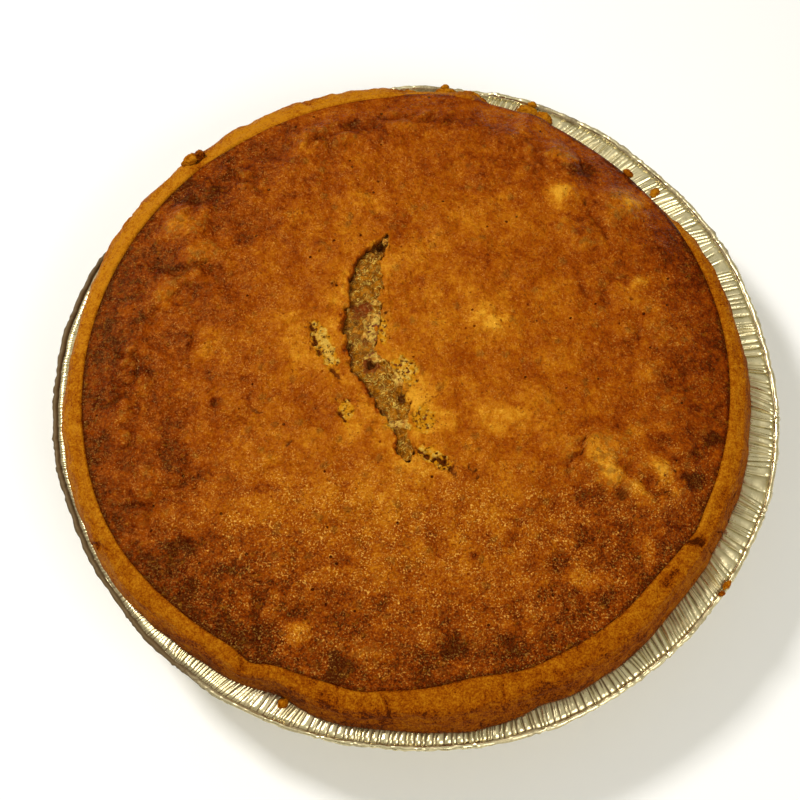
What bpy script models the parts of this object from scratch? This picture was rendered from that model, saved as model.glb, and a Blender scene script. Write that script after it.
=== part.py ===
# A whole pecan pie in its crimped foil tin: a thin fluted tin, a pastry shell that stands
# above the tin's flange, and a puffed, cracked filling. Metres, +Z up, origin on the
# table under the middle of the tin. The pie's near side in the usual view is at -Y.

import bmesh
import bpy
import math
import random
from mathutils import Vector, noise

MM = 0.001
FULL_TURN = 2.0 * math.pi
WELD = 0.01 * MM

# Foil tin
RIM_RADIUS = 120.0 * MM
BEAD_RADIUS = 1.6 * MM
BEAD_SIDES = 5
BASE_RADIUS = 86.0 * MM
CORNER_WIDTH = 2.3 * MM
CORNER_HEIGHT = 1.3 * MM
FLANGE_RADIUS = 107.5 * MM
FLANGE_HEIGHT = 30.0 * MM
FLANGE_SLOPE = 0.20
FOIL = 0.55 * MM
FLUTES = 90
FLUTE_DEPTH = 0.45 * MM
RIPPLE_DEPTH = 0.30 * MM
# Slight waves in the rim: order round the tin and phase
RIM_WOBBLE = 0.20 * MM
RIM_WAVES = [(3, 0.6), (7, 2.0)]

# Pastry shell
CLEARANCE = 0.35 * MM
PASTRY = 4.6 * MM
PASTRY_STEPS = 144
PASTRY_FLOOR = FOIL + CLEARANCE
PASTRY_CORNER = 1.7 * MM
WALL_GAP = FLUTE_DEPTH + CLEARANCE + 0.6 * MM
WALL_RADIUS = FLANGE_RADIUS - 1.5 * PASTRY
WALL_HEIGHT = FLANGE_HEIGHT - 1.5 * MM
LIP_RADIUS = 105.5 * MM
LIP_DROP = 3.0 * MM
FOOT_RADIUS = 113.6 * MM
FOOT_HEIGHT = 1.2 * MM
FOOT_TUCK = 0.8 * MM
LEAST_FOOT = FLANGE_RADIUS + 2.2 * MM
MOST_FOOT = RIM_RADIUS - 2.2 * BEAD_RADIUS - 0.8 * MM
PASTRY_HEIGHT = 41.6 * MM
LUMP_DEPTH = 0.35 * MM
LUMP_TURN = 2.4
# Rounding of the lip from inside to outside: share of its width, share of its drop
LIP_SECTION = [(0.12, 0.21), (0.36, 0.0), (0.66, 0.33)]
SLOPE_SHARE = 0.90
# The pie baked off-centre, towards the far left: order, size and direction of each swelling
LIP_LOBES = [(1, 3.9 * MM, 138), (2, 1.0 * MM, 97), (3, 0.5 * MM, -111)]
FOOT_LOBES = [(1, 2.8 * MM, 175), (3, 0.6 * MM, -158), (4, 0.5 * MM, 21), (5, 0.5 * MM, -14)]
# Folds pinched into the pastry: direction, half width in degrees, lip, foot and top shift
FOLDS = [
    (-30, 3.0, 0.8 * MM, -0.3 * MM, -1.8 * MM),
    (-42, 7.0, -1.0 * MM, -0.3 * MM, 0.4 * MM),
    (-70, 3.5, 0.3 * MM, -1.4 * MM, -0.5 * MM),
    (-80, 6.0, -1.5 * MM, 0.5 * MM, 0.6 * MM),
    (-99, 4.0, 1.1 * MM, 0.4 * MM, -0.4 * MM),
    (-112, 4.5, -0.3 * MM, -2.0 * MM, 0.5 * MM),
    (-117.5, 2.5, 1.6 * MM, 0.0, -1.3 * MM),
    (-150, 14.0, 1.4 * MM, 0.8 * MM, 0.2 * MM),
    (133, 3.0, 1.0 * MM, 0.6 * MM, -1.2 * MM),
]
# Where the far right edge of the pastry broke away, in degrees, and how soft each end is
BROKEN_FROM = (35.0, 8.0)
BROKEN_TO = (78.0, 2.5)
BROKEN_DROP = 5.6 * MM
BROKEN_LIP = 2.2 * MM
BROKEN_FOOT = 3.2 * MM
SHARD_ANGLE = 67.5
SHARD_WIDTH = 2.5
SHARD_RISE = 4.6 * MM
# Where the far left side of the pastry bulges over the rim
BULGE_FROM = (94.0, 6.0)
BULGE_TO = (158.0, 8.0)
BULGE = 1.7 * MM

# Filling
FILLING_SEGMENTS = PASTRY_STEPS // 4
FILLING_GAP = 0.55 * MM
EDGE_HEIGHT = 39.2 * MM
EDGE_THICKNESS = 1.0 * MM
THIN_EDGE = 0.3 * MM
NECK_DROP = 0.8 * MM
SPILL = 2.8 * MM
SPILL_REST = 0.9 * MM
SHOULDER_RISE = 3.6 * MM
CROWN_RISE = 4.0 * MM
DIP_DEPTH = 0.9 * MM
DIP_PLACE = 0.60
DIP_WIDTH = 0.13
CALM_EDGE = (0.80, 0.98)
NUTS = 44
NUT_SEED = 11
NUT_REACH = LIP_RADIUS - 12.0 * MM
NUT_TURN = math.radians(137.5)
NUT_JITTER = 0.4
NUT_RADIUS = (5.0 * MM, 8.5 * MM)
NUT_RISE = (0.5 * MM, 1.7 * MM)
ROLL_SIZE = 26.0 * MM
ROLL_DEPTH = 0.8 * MM
ROLL_SEED = 3.7

# The cracks where the top burst: x, y and half width at each turn, in millimetres
CRACK_COURSE = [
    (-9.5, 47.5, 1.0),
    (-12.0, 43.0, 2.6),
    (-16.5, 36.0, 4.2),
    (-16.8, 27.0, 5.2),
    (-17.5, 18.0, 4.8),
    (-19.5, 10.0, 4.6),
    (-17.8, 1.5, 5.4),
    (-13.0, -5.5, 5.2),
    (-8.0, -12.5, 5.2),
    (-5.0, -18.0, 3.8),
    (-3.6, -24.0, 2.4),
    (-3.0, -28.5, 3.2),
    (4.5, -30.5, 2.4),
    (11.0, -34.5, 1.6),
    (16.0, -37.0, 0.7),
]
SIDE_CRACK_COURSE = [
    (-32.5, 15.0, 0.9),
    (-32.0, 9.0, 2.2),
    (-29.5, 3.0, 2.6),
    (-25.5, -2.5, 1.6),
]
CRACK_RISE = 0.6 * MM


def smooth(low, high, value):
    share = min(1.0, max(0.0, (value - low) / (high - low)))
    return share * share * (3.0 - 2.0 * share)


def degrees_apart(one, other):
    return abs((one - other + 180.0) % 360.0 - 180.0)


def lobed(mean, lobes, angle):
    return mean + sum(size * math.cos(order * angle - math.radians(place)) for order, size, place in lobes)


def folded(angle, column):
    place = math.degrees(angle)
    return sum(
        fold[column] * math.exp(-((degrees_apart(place, fold[0]) / fold[1]) ** 2)) for fold in FOLDS
    )


# From 0 outside a sector to 1 inside it, with a soft start and end
def sector(angle, first, last):
    place = math.degrees(angle) % 360.0
    start, start_ease = first
    end, end_ease = last
    inside = smooth(start - start_ease, start + start_ease, place)
    return inside * (1.0 - smooth(end - end_ease, end + end_ease, place))


# Share of the pastry's edge that is missing at an angle
def missing(angle):
    return sector(angle, BROKEN_FROM, BROKEN_TO)


# The piece of it that was left standing
def shard(angle):
    away = degrees_apart(math.degrees(angle), SHARD_ANGLE) / SHARD_WIDTH
    return missing(angle) * math.exp(-(away**4))


# How far the filling spills over the pastry: only where the pastry is low on both sides too
def spilled(angle):
    step = FULL_TURN / PASTRY_STEPS
    nearby = (angle - step, angle, angle + step)
    return smooth(0.65, 1.0, min(missing(place) - shard(place) for place in nearby))


def flange_height(radius):
    return FLANGE_HEIGHT + max(0.0, radius - FLANGE_RADIUS) * FLANGE_SLOPE


def pastry_seat(radius):
    return flange_height(radius) + FOIL + RIPPLE_DEPTH + CLEARANCE


def lip_radius(angle):
    return lobed(LIP_RADIUS, LIP_LOBES, angle) + folded(angle, 2) - BROKEN_LIP * missing(angle)


def foot_radius(angle):
    radius = lobed(FOOT_RADIUS, FOOT_LOBES, angle) + folded(angle, 3)
    return max(LEAST_FOOT, min(radius, MOST_FOOT) - BROKEN_FOOT * missing(angle))


def pastry_height(angle):
    return PASTRY_HEIGHT + folded(angle, 4) - BROKEN_DROP * missing(angle) + SHARD_RISE * shard(angle)


# Screws the outline at angle 0 about Z, then sets each point to the outline at its own angle
def turned(name, outline, steps, collection):
    blank = outline(0.0, 0)
    profile = bpy.data.meshes.new(name)
    profile.from_pydata(
        [(radius, 0.0, height) for radius, height in blank],
        [(index, index + 1) for index in range(len(blank) - 1)],
        [],
    )
    station = profile.attributes.new("station", "INT", "POINT")
    station.data.foreach_set("value", range(len(blank)))
    thing = bpy.data.objects.new(name, profile)
    collection.objects.link(thing)
    screw = thing.modifiers.new("turn", "SCREW")
    screw.axis = "Z"
    screw.angle = FULL_TURN
    screw.steps = screw.render_steps = steps
    screw.use_merge_vertices = True
    screw.merge_threshold = WELD
    bpy.context.view_layer.update()
    mesh = bpy.data.meshes.new_from_object(thing.evaluated_get(bpy.context.evaluated_depsgraph_get()))
    thing.modifiers.clear()

    shape = bmesh.new()
    shape.from_mesh(mesh)
    station = shape.verts.layers.int["station"]
    for point in shape.verts:
        if math.hypot(point.co.x, point.co.y) > CLEARANCE:
            angle = math.atan2(point.co.y, point.co.x)
            step = round(angle / FULL_TURN * steps)
            radius, height = outline(angle, step)[point[station]]
            point.co = (radius * math.cos(angle), radius * math.sin(angle), height)
    bmesh.ops.remove_doubles(shape, verts=shape.verts, dist=WELD)
    finish_mesh(shape, mesh)
    thing.data = mesh
    return thing


def finish_mesh(shape, mesh):
    bmesh.ops.recalc_face_normals(shape, faces=shape.faces)
    shape.to_mesh(mesh)
    shape.free()
    mesh.shade_smooth()
    mesh.set_sharp_from_angle(angle=math.radians(50))


def material(name, colour, roughness, metallic=0.0):
    finish = bpy.data.materials.new(name)
    finish.use_nodes = True
    shader = finish.node_tree.nodes["Principled BSDF"]
    shader.inputs["Base Color"].default_value = (*colour, 1.0)
    shader.inputs["Roughness"].default_value = roughness
    shader.inputs["Metallic"].default_value = metallic
    return finish


# Tin: flat base, sloped fluted wall, rippled flange and a rolled bead
def tin_outline(angle, step):
    side = 1.0 if step % 2 else -1.0
    flute = side * FLUTE_DEPTH
    ripple = side * RIPPLE_DEPTH
    wobble = RIM_WOBBLE * sum(math.cos(order * angle + phase) for order, phase in RIM_WAVES)
    flange_end = RIM_RADIUS - 2.2 * BEAD_RADIUS
    bead_middle = RIM_RADIUS - BEAD_RADIUS
    bead_height = flange_height(bead_middle) + 0.4 * BEAD_RADIUS
    bead = []
    for side_index in range(BEAD_SIDES):
        turn = math.radians(110.0) - side_index * math.radians(256.0) / (BEAD_SIDES - 1)
        bead.append(
            (
                bead_middle + BEAD_RADIUS * math.cos(turn) + wobble,
                bead_height + BEAD_RADIUS * math.sin(turn),
            )
        )
    return [
        (0.0, FOIL),
        (BASE_RADIUS, FOIL),
        (BASE_RADIUS + CORNER_WIDTH - FOIL, FOIL + CORNER_HEIGHT),
        (FLANGE_RADIUS - 2.0 * FOIL + flute, FLANGE_HEIGHT - FOIL),
        (FLANGE_RADIUS, FLANGE_HEIGHT + FOIL + ripple),
        (flange_end + wobble, flange_height(flange_end) + FOIL + ripple),
        *bead,
        (flange_end - FOIL + wobble, flange_height(flange_end) + ripple),
        (FLANGE_RADIUS + 0.5 * FOIL, FLANGE_HEIGHT + ripple),
        (FLANGE_RADIUS - 0.8 * FOIL + flute, FLANGE_HEIGHT - 1.6 * FOIL),
        (BASE_RADIUS + CORNER_WIDTH, CORNER_HEIGHT),
        (BASE_RADIUS, 0.0),
        (0.0, 0.0),
    ]


# Pastry: a floor and wall inside the tin, and a thick uneven lip that stands over the flange
def pastry_outline(angle, step):
    lip, foot, top = lip_radius(angle), foot_radius(angle), pastry_height(angle)
    width = foot - lip
    seat = pastry_seat(foot)
    lump = LUMP_DEPTH * math.sin(step * LUMP_TURN)
    bulge = BULGE * sector(angle, BULGE_FROM, BULGE_TO)
    crest = [(lip + across * width, top - down * LIP_DROP) for across, down in LIP_SECTION]
    return [
        (0.0, PASTRY_FLOOR + PASTRY),
        (BASE_RADIUS - PASTRY, PASTRY_FLOOR + PASTRY),
        (WALL_RADIUS, WALL_HEIGHT),
        (lip, top - LIP_DROP),
        *crest,
        (lip + SLOPE_SHARE * width + bulge, 0.5 * (top + seat) + lump),
        (foot, seat + FOOT_HEIGHT),
        (foot - FOOT_TUCK, seat),
        (FLANGE_RADIUS - 0.5 * FOOT_TUCK, pastry_seat(FLANGE_RADIUS)),
        (FLANGE_RADIUS - WALL_GAP - FOOT_TUCK, FLANGE_HEIGHT - CORNER_HEIGHT),
        (BASE_RADIUS + CORNER_WIDTH - WALL_GAP, PASTRY_FLOOR + PASTRY_CORNER),
        (BASE_RADIUS - WALL_GAP, PASTRY_FLOOR),
        (0.0, PASTRY_FLOOR),
    ]


# Nut pieces that lift the skin: x, y, radius and rise, spread by a seeded draw over equal areas
def nuts():
    draw = random.Random(NUT_SEED)
    placed = []
    for index in range(NUTS):
        distance = NUT_REACH * math.sqrt((index + draw.random()) / NUTS)
        angle = index * NUT_TURN + draw.uniform(-NUT_JITTER, NUT_JITTER)
        size, rise = draw.uniform(*NUT_RADIUS), draw.uniform(*NUT_RISE)
        placed.append((distance * math.cos(angle), distance * math.sin(angle), size, rise))
    return placed


def filling_height(x, y, share, lifted):
    height = EDGE_HEIGHT + SHOULDER_RISE * (1.0 - share**7) + CROWN_RISE * (1.0 - share**2)
    height -= DIP_DEPTH * math.exp(-(((share - DIP_PLACE) / DIP_WIDTH) ** 2))
    uneven = 1.0 - smooth(*CALM_EDGE, share)
    height += ROLL_DEPTH * uneven * noise.noise(Vector((x / ROLL_SIZE, y / ROLL_SIZE, ROLL_SEED)))
    for nut_x, nut_y, size, rise in lifted:
        away = ((x - nut_x) ** 2 + (y - nut_y) ** 2) / size**2
        height += rise * uneven * math.exp(-2.0 * away)
    return height


def edge_radius(angle):
    return lip_radius(angle) - CLEARANCE + SPILL * spilled(angle)


# Radius of the pastry's inner face at a height, less the gap to the filling
def inside_pastry(angle, height):
    lip, lip_height = lip_radius(angle), pastry_height(angle) - LIP_DROP
    share = min(1.0, (height - WALL_HEIGHT) / (lip_height - WALL_HEIGHT))
    return WALL_RADIUS + share * (lip - WALL_RADIUS) - FILLING_GAP


# Rings down the filling's side: under its edge, the neck, the wall and the floor's corner
def filling_side(angle):
    resting = smooth(0.35, 0.65, missing(angle) - shard(angle))
    under = EDGE_HEIGHT - EDGE_THICKNESS
    under += resting * (pastry_height(angle) + SPILL_REST - under)
    under = min(under, EDGE_HEIGHT - THIN_EDGE)
    neck = under - NECK_DROP * (1.0 - resting)
    below = pastry_height(angle) - LIP_DROP - 2.0 * NECK_DROP
    return [
        (max(edge_radius(angle) - THIN_EDGE, inside_pastry(angle, neck)), under),
        (inside_pastry(angle, neck) - WELD, neck),
        (inside_pastry(angle, below), below),
        (inside_pastry(angle, WALL_HEIGHT), WALL_HEIGHT),
        (BASE_RADIUS - PASTRY - FILLING_GAP, PASTRY_FLOOR + PASTRY + CLEARANCE),
    ]


# Square grid to disc with even angles, so the filling's edge meets the pastry step by step
def disc_place(x, y):
    if abs(x) >= abs(y):
        turn = math.pi / 4.0 * y / x if x else 0.0
        return abs(x), turn if x > 0.0 else turn + math.pi
    turn = math.pi / 2.0 - math.pi / 4.0 * x / y
    return abs(y), turn if y > 0.0 else turn + math.pi


def filling(collection):
    lifted = nuts()
    shape = bmesh.new()
    bmesh.ops.create_grid(shape, x_segments=FILLING_SEGMENTS, y_segments=FILLING_SEGMENTS, size=1.0)
    for point in shape.verts:
        share, angle = disc_place(point.co.x, point.co.y)
        distance = edge_radius(angle) * share
        x, y = distance * math.cos(angle), distance * math.sin(angle)
        point.co = (x, y, filling_height(x, y, share, lifted))
    ring = [line for line in shape.edges if line.is_boundary]
    for level in range(len(filling_side(0.0))):
        made = bmesh.ops.extrude_edge_only(shape, edges=ring)["geom"]
        ring = [part for part in made if isinstance(part, bmesh.types.BMEdge) and part.is_boundary]
        for point in {end for line in ring for end in line.verts}:
            angle = math.atan2(point.co.y, point.co.x)
            radius, height = filling_side(angle)[level]
            point.co = (radius * math.cos(angle), radius * math.sin(angle), height)
    bmesh.ops.edgeloop_fill(shape, edges=ring)
    mesh = bpy.data.meshes.new("filling")
    finish_mesh(shape, mesh)
    thing = bpy.data.objects.new("filling", mesh)
    collection.objects.link(thing)
    return thing


# A tube along the top of the filling, fat where the crack gapes, that Boolean cuts away
def crack_cutter(name, course, collection):
    lifted = nuts()
    guide = bpy.data.curves.new(name, "CURVE")
    guide.dimensions = "3D"
    guide.bevel_depth = 1.0 * MM
    guide.bevel_resolution = 2
    guide.use_fill_caps = True
    line = guide.splines.new("POLY")
    line.points.add(len(course) - 1)
    for point, (x, y, half_width) in zip(line.points, course):
        x, y = x * MM, y * MM
        share = math.hypot(x, y) / LIP_RADIUS
        point.co = (x, y, filling_height(x, y, share, lifted) + CRACK_RISE, 1.0)
        point.radius = half_width
    tube = bpy.data.objects.new(name + "_guide", guide)
    collection.objects.link(tube)
    bpy.context.view_layer.update()
    mesh = bpy.data.meshes.new_from_object(tube.evaluated_get(bpy.context.evaluated_depsgraph_get()))
    bpy.data.objects.remove(tube)
    shape = bmesh.new()
    shape.from_mesh(mesh)
    bmesh.ops.remove_doubles(shape, verts=shape.verts, dist=WELD)
    finish_mesh(shape, mesh)
    cutter = bpy.data.objects.new(name, mesh)
    cutter.hide_render = True
    cutter.display_type = "WIRE"
    collection.objects.link(cutter)
    return cutter


def cut(target, cutter):
    modifier = target.modifiers.new(cutter.name, "BOOLEAN")
    modifier.operation = "DIFFERENCE"
    modifier.solver = "EXACT"
    modifier.object = cutter


def new_collection(name):
    collection = bpy.data.collections.new(name)
    bpy.context.scene.collection.children.link(collection)
    return collection


def build():
    for thing in list(bpy.data.objects):
        bpy.data.objects.remove(thing)
    pie = new_collection("pecan_pie")
    cutters = new_collection("cutters")

    tin = turned("foil_tin", tin_outline, 2 * FLUTES, pie)
    tin.data.materials.append(material("foil", (0.80, 0.77, 0.68), 0.28, 1.0))

    pastry = turned("pastry_shell", pastry_outline, PASTRY_STEPS, pie)
    pastry.data.materials.append(material("baked_pastry", (0.46, 0.20, 0.035), 0.62))

    custard = filling(pie)
    custard.data.materials.append(material("browned_filling", (0.34, 0.115, 0.012), 0.48))
    cut(custard, crack_cutter("crack", CRACK_COURSE, cutters))
    cut(custard, crack_cutter("side_crack", SIDE_CRACK_COURSE, cutters))


build()
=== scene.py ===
# Looks of a whole pecan pie in its foil tin: crimped foil, baked pastry and a browned filling skin,
# with the syrup that shows where the skin burst, and loose crumbs of crust
import math

import bmesh
import bpy
import numpy as np
from mathutils import Matrix, Vector


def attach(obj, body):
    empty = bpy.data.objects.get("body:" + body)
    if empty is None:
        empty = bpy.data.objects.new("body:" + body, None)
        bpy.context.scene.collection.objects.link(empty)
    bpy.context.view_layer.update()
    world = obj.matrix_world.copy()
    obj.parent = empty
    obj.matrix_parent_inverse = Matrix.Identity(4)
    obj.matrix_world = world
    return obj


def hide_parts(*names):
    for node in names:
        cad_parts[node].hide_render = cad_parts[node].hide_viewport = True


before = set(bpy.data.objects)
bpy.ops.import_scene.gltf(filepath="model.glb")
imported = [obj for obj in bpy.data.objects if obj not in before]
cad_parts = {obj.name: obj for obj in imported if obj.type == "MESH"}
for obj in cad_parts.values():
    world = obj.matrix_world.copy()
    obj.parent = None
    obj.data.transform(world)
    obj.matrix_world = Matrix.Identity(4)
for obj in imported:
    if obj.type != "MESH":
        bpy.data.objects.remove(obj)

mm = 0.001
fullTurn = 2.0 * math.pi
grainCells = 64  # cells before the random relief over a plane repeats
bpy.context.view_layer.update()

# The pie's plan, in millimetres and degrees, as the solids have it
plan = dict(
    lip=105.5, foot=113.6, mostFoot=115.7, leastFoot=109.7, top=41.6,
    lipLobes=[(1, 3.9, 138), (2, 1.0, 97), (3, 0.5, -111)],
    footLobes=[(1, 2.8, 175), (3, 0.6, -158), (4, 0.5, 21), (5, 0.5, -14)],
    folds=[  # direction, half width, lip shift, foot shift, top shift
        (-30, 3, 0.8, -0.3, -1.8), (-42, 7, -1, -0.3, 0.4), (-70, 3.5, 0.3, -1.4, -0.5),
        (-80, 6, -1.5, 0.5, 0.6), (-99, 4, 1.1, 0.4, -0.4), (-112, 4.5, -0.3, -2, 0.5),
        (-117.5, 2.5, 1.6, 0, -1.3), (-150, 14, 1.4, 0.8, 0.2), (133, 3, 1, 0.6, -1.2),
    ],
    brokenFrom=(35.0, 8.0), brokenTo=(78.0, 2.5), brokenDrop=5.6, brokenLip=2.2, brokenFoot=3.2,
    shardAngle=67.5, shardWidth=2.5, shardRise=3.2, bulgeFrom=(94.0, 6.0), bulgeTo=(158.0, 8.0), bulge=1.7,
    flangeRadius=107.5, flangeHeight=30.0, flangeSlope=0.20, foil=0.55,
    wallRadius=100.6, wallHeight=28.5, baseRadius=86.0, pastryFloor=0.9, pastry=4.6,
)


def smooth(low, high, value):
    share = np.clip((value - low) / (high - low), 0.0, 1.0)
    return share * share * (3.0 - 2.0 * share)


def degreesApart(one, other):
    return np.abs((one - other + 180.0) % 360.0 - 180.0)


def lobed(mean, lobes, angle):
    return mean + sum(size * np.cos(order * angle - math.radians(place)) for order, size, place in lobes)


def folded(angle, column):
    place = np.degrees(angle)
    return sum(f[column] * np.exp(-((degreesApart(place, f[0]) / f[1]) ** 2)) for f in plan["folds"])


def sector(angle, first, last):
    place = np.degrees(angle) % 360.0
    (start, startEase), (end, endEase) = first, last
    inside = smooth(start - startEase, start + startEase, place)
    return inside * (1.0 - smooth(end - endEase, end + endEase, place))


def missing(angle):  # share of the pastry's edge that broke away
    return sector(angle, plan["brokenFrom"], plan["brokenTo"])


def shard(angle):  # the one piece of pastry left standing there
    away = degreesApart(np.degrees(angle), plan["shardAngle"]) / plan["shardWidth"]
    return missing(angle) * np.exp(-(away**4))


def lipRadius(angle):
    return lobed(plan["lip"], plan["lipLobes"], angle) + folded(angle, 2) - plan["brokenLip"] * missing(angle)


def footRadius(angle):
    radius = lobed(plan["foot"], plan["footLobes"], angle) + folded(angle, 3)
    radius = np.minimum(radius, plan["mostFoot"]) - plan["brokenFoot"] * missing(angle)
    return np.maximum(radius, plan["leastFoot"])


def pastryTop(angle):
    broken = plan["shardRise"] * shard(angle) - plan["brokenDrop"] * missing(angle)
    return plan["top"] + folded(angle, 4) + broken


def flangeHeight(radius):
    return plan["flangeHeight"] + np.maximum(0.0, radius - plan["flangeRadius"]) * plan["flangeSlope"]


# Smooth random relief over a plane, from -1 to 1
def grain(u, v, seed):
    table = np.random.RandomState(seed).rand(grainCells, grainCells) * 2.0 - 1.0
    cellU, cellV = np.floor(u).astype(int), np.floor(v).astype(int)
    partU, partV = u - cellU, v - cellV
    partU = partU * partU * (3.0 - 2.0 * partU)
    partV = partV * partV * (3.0 - 2.0 * partV)
    left, right, below, above = (cell % grainCells for cell in (cellU, cellU + 1, cellV, cellV + 1))
    low = table[left, below] * (1 - partU) + table[right, below] * partU
    high = table[left, above] * (1 - partU) + table[right, above] * partU
    return low * (1 - partV) + high * partV


def grains(u, v, seed, octaves=3):
    total = sum(grain(u * 2**k, v * 2**k, seed + k) * 0.5**k for k in range(octaves))
    return total / (2.0 - 0.5 ** (octaves - 1))


# Smooth random values round the tin, from -1 to 1, one for each of a number of cells
def roundAbout(angle, cells, seed):
    table = np.random.RandomState(seed).rand(cells) * 2.0 - 1.0
    place = (angle / fullTurn % 1.0) * cells
    cell = np.floor(place).astype(int)
    part = place - cell
    part = part * part * (3.0 - 2.0 * part)
    return table[cell % cells] * (1.0 - part) + table[(cell + 1) % cells] * part


def uneven(angle, waves):  # random waves round the tin: reach, number of cells and seed of each
    return sum(reach * roundAbout(angle, cells, seed) for reach, cells, seed in waves)


# Distance from a place's middle over its half width and half height, with a ragged edge
def ovalShare(x, y, oval, ragged, cell, seed):
    middleX, middleY, wide, tall = oval
    return np.hypot((x - middleX) / wide, (y - middleY) / tall) + ragged * grain(x / cell, y / cell, seed)


def onLine(x, y, middleX, middleY, angle):  # distances along and across a line through a place
    c, s = math.cos(angle), math.sin(angle)
    return (x - middleX) * c + (y - middleY) * s, (y - middleY) * c - (x - middleX) * s


# Moves all points of a shape at once, and gives them the named values that the materials read
def moved(bm, place):
    draft = bpy.data.meshes.new("draft")
    bm.to_mesh(draft)
    bm.free()
    flat = np.empty(len(draft.vertices) * 3)
    draft.vertices.foreach_get("co", flat)
    points, marks = place(draft, flat.reshape(-1, 3))
    draft.vertices.foreach_set("co", np.ascontiguousarray(points, dtype=float).ravel())
    for name, values in marks.items():
        layer = draft.attributes.get(name) or draft.attributes.new(name, "FLOAT", "POINT")
        layer.data.foreach_set("value", np.ascontiguousarray(values, dtype=np.float32))
    bm = bmesh.new()
    bm.from_mesh(draft)
    bpy.data.meshes.remove(draft)
    return bm


# Wraps a flat grid round the pie: a row for each ring of the outline, a column for each step, and
# turns, where given, to twist the rings
def wrapped(radii, heights, marks, turns=None):
    rows, steps = radii.shape
    bm = bmesh.new()
    bmesh.ops.create_grid(bm, x_segments=steps, y_segments=rows - 1, size=1.0)

    def place(draft, points):
        step = np.round((points[:, 0] + 1) / 2 * steps).astype(int) % steps
        row = np.round((points[:, 1] + 1) / 2 * (rows - 1)).astype(int)
        angle = step / steps * fullTurn + (0.0 if turns is None else turns[row, step])
        radius, height = radii[row, step] * mm, heights[row, step] * mm
        found = {name: values[row, step] for name, values in marks.items()}
        return np.stack((radius * np.cos(angle), radius * np.sin(angle), height), axis=1), found

    bm = moved(bm, place)
    bmesh.ops.remove_doubles(bm, verts=bm.verts, dist=0.005 * mm)
    bmesh.ops.recalc_face_normals(bm, faces=bm.faces)
    return bm


def newPiece(name, bm, material, replaced=None):
    mesh = bpy.data.meshes.new(name)
    bm.to_mesh(mesh)
    bm.free()
    mesh.shade_smooth()
    piece = bpy.data.objects.new(name, mesh)
    bpy.context.scene.collection.objects.link(piece)
    mesh.materials.append(material)
    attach(piece, "root")
    if replaced:
        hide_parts(replaced)
    print(name, len(mesh.vertices), "points")
    return piece


def fillRamp(ramp, stops):
    while len(ramp.elements) < len(stops):
        ramp.elements.new(0.5)
    for element, (at, colour) in zip(ramp.elements, stops):
        element.position = at
        element.color = (*colour, 1.0)


# One procedural material, built node by node
class Finish:
    def __init__(self, name, **fixed):
        self.material = bpy.data.materials.new(name)
        self.material.use_nodes = True
        self.tree = self.material.node_tree
        self.shader = self.tree.nodes["Principled BSDF"]
        self.place = self.node("ShaderNodeTexCoord").outputs["Object"]
        for socket, value in fixed.items():
            self.shader.inputs[socket.replace("_", " ")].default_value = value

    def node(self, kind, links=(), **settings):
        made = self.tree.nodes.new(kind)
        for key, value in settings.items():
            setattr(made, key, value)
        for socket, value in links:
            self.join(value, made.inputs[socket])
        return made

    def join(self, value, socket):
        if isinstance(value, bpy.types.NodeSocket):
            self.tree.links.new(value, socket)
        else:
            socket.default_value = value

    def noise(self, size, detail=2.0, roughness=0.55, warp=0.0):
        links = [("Vector", self.place), ("Scale", 1.0 / (size * mm)), ("Detail", detail)]
        links += [("Roughness", roughness), ("Distortion", warp)]
        return self.node("ShaderNodeTexNoise", links).outputs["Fac"]

    def cells(self, size):
        links = [("Vector", self.place), ("Scale", 1.0 / (size * mm))]
        return self.node("ShaderNodeTexVoronoi", links, feature="F1").outputs["Distance"]

    def mark(self, name):
        return self.node("ShaderNodeAttribute", attribute_name=name).outputs["Fac"]

    def math(self, operation, one, other=0.0):
        return self.node("ShaderNodeMath", [(0, one), (1, other)], operation=operation).outputs[0]

    def chain(self, operation, values):
        total = values[0]
        for value in values[1:]:
            total = self.math(operation, total, value)
        return total

    def add(self, *values):
        return self.chain("ADD", values)

    def times(self, *values):
        return self.chain("MULTIPLY", values)

    def span(self, value, low, high, outLow=0.0, outHigh=1.0, ease="SMOOTHSTEP"):
        links = [("Value", value), ("From Min", low), ("From Max", high)]
        links += [("To Min", outLow), ("To Max", outHigh)]
        return self.node("ShaderNodeMapRange", links, interpolation_type=ease).outputs["Result"]

    def sway(self, size, reach, detail=3.0, roughness=0.6):  # noise from -reach to reach
        return self.span(self.noise(size, detail, roughness), 0.3, 0.7, -reach, reach, "LINEAR")

    def ramp(self, value, stops):
        made = self.node("ShaderNodeValToRGB", [("Fac", value)])
        fillRamp(made.color_ramp, stops)
        return made.outputs["Color"]

    def mix(self, share, one, other):
        made = self.node("ShaderNodeMix", data_type="RGBA", blend_type="MIX")
        self.join(share, made.inputs["Factor"])
        colours = [socket for socket in made.inputs if socket.type == "RGBA"]
        for target, value in zip(colours, (one, other)):
            self.join(value if isinstance(value, bpy.types.NodeSocket) else (*value, 1.0), target)
        return [socket for socket in made.outputs if socket.type == "RGBA"][0]

    def bump(self, height, distance):
        links = [("Height", height), ("Distance", distance * mm)]
        return self.node("ShaderNodeBump", links).outputs["Normal"]

    def wear(self, **joined):  # joins values to the shader's sockets
        for socket, value in joined.items():
            self.join(value, self.shader.inputs[socket.replace("_", " ")])
        return self.material


# Camera: from above the near side, a little off the middle
view = dict(aim=(-5.186, -5.451, 32.0), distance=450.0, elevation=67.446, roll=0.78, lens=61.18, sensor=36.0)


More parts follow.
